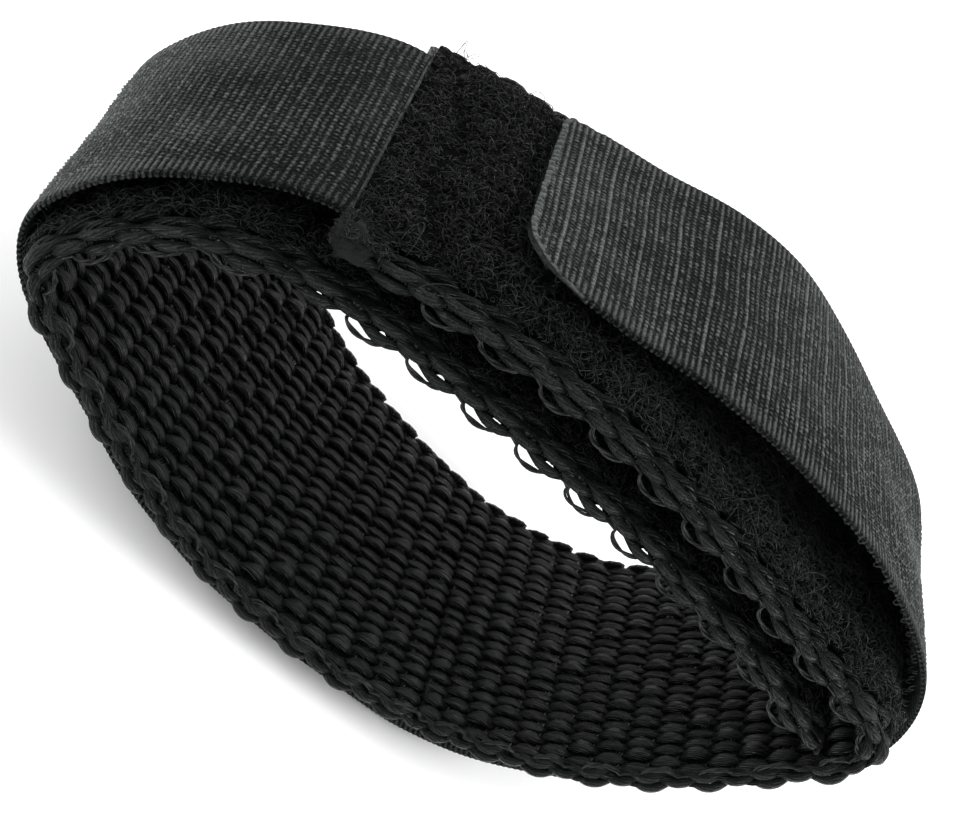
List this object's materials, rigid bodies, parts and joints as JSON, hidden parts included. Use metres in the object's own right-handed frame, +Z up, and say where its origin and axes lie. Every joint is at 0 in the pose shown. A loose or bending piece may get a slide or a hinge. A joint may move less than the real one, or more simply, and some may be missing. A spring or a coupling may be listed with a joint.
{
  "type": "esd wrist strap",
  "caption": "Black hook-and-loop wrist strap wound into a flattened ring: heavy loop webbing inside, thin hook tape welded on outside, with a peel-open pull tab.",
  "frame": {"origin": "on the surface the strap lies on, below the middle of the ring", "axes": "+X along the ring's long axis, towards the sharp fold; +Y across the strap, from the edge with the locking-thread loops to the plain selvedge; +Z up, towards the pull tab"},
  "size_m": [0.0646, 0.0272, 0.0369],
  "materials": {
    "webbing": "coarse woven multifilament, slight gloss on the floats",
    "pile": "curly loop pile, matt",
    "thread": "twisted thread, slight gloss",
    "hook_tape": "fine ribbed weave, satin",
    "hooks": "field of monofilament hooks",
    "fused_nylon": "heat-sealed, uneven, slight gloss"
  },
  "bodies": {
    "ring": {"webbing_left_turn": "webbing", "webbing_wrist_run": "webbing", "webbing_rise": "webbing", "webbing_fold": "webbing", "webbing_outer_run": "webbing", "pile_left_turn": "pile", "pile_wrist_run": "pile", "pile_rise": "pile", "pile_fold": "pile", "pile_outer_run": "pile", "selvedge_left_turn": "thread", "selvedge_wrist_run": "thread", "selvedge_rise": "thread", "selvedge_fold": "thread", "selvedge_outer_run": "thread", "picots_wrist_run": "thread", "picots_outer_run": "thread", "tape_left_turn": "hook_tape", "tape_wrist_run": "hook_tape", "tape_bulge": "hook_tape", "hooks_left_turn": "hooks", "hooks_wrist_run": "hooks", "hooks_bulge": "hooks", "weld_seam": "fused_nylon", "melted_end_outer": "fused_nylon"},
    "tail": {"webbing_tail": "webbing", "pile_tail": "pile", "selvedge_tail": "thread", "picots_tail": "thread", "sealed_end_inner": "fused_nylon"},
    "tab": {"tape_tab": "hook_tape", "hooks_tab": "hooks"},
    "tip": {"tape_tip": "hook_tape", "hooks_tip": "hooks", "tip_sealed_edge": "fused_nylon"}
  },
  "joints": [
    {"name": "tab_lift", "type": "hinge", "parent": "ring", "child": "tab", "pos_m": [0.02075, 0, 0.03548], "axis": [0, 1, 0], "range_deg": [0, 100]},
    {"name": "tab_curl", "type": "hinge", "parent": "tab", "child": "tip", "pos_m": [0.00277, 0, 0.03673], "axis": [0, 1, 0], "range_deg": [0, 60]},
    {"name": "tail_swing", "type": "hinge", "parent": "ring", "child": "tail", "pos_m": [-0.0133, 0, 0.02623], "axis": [0, 1, 0], "range_deg": [0, 6], "stiffness_Nm_per_rad": 0.03}
  ]
}
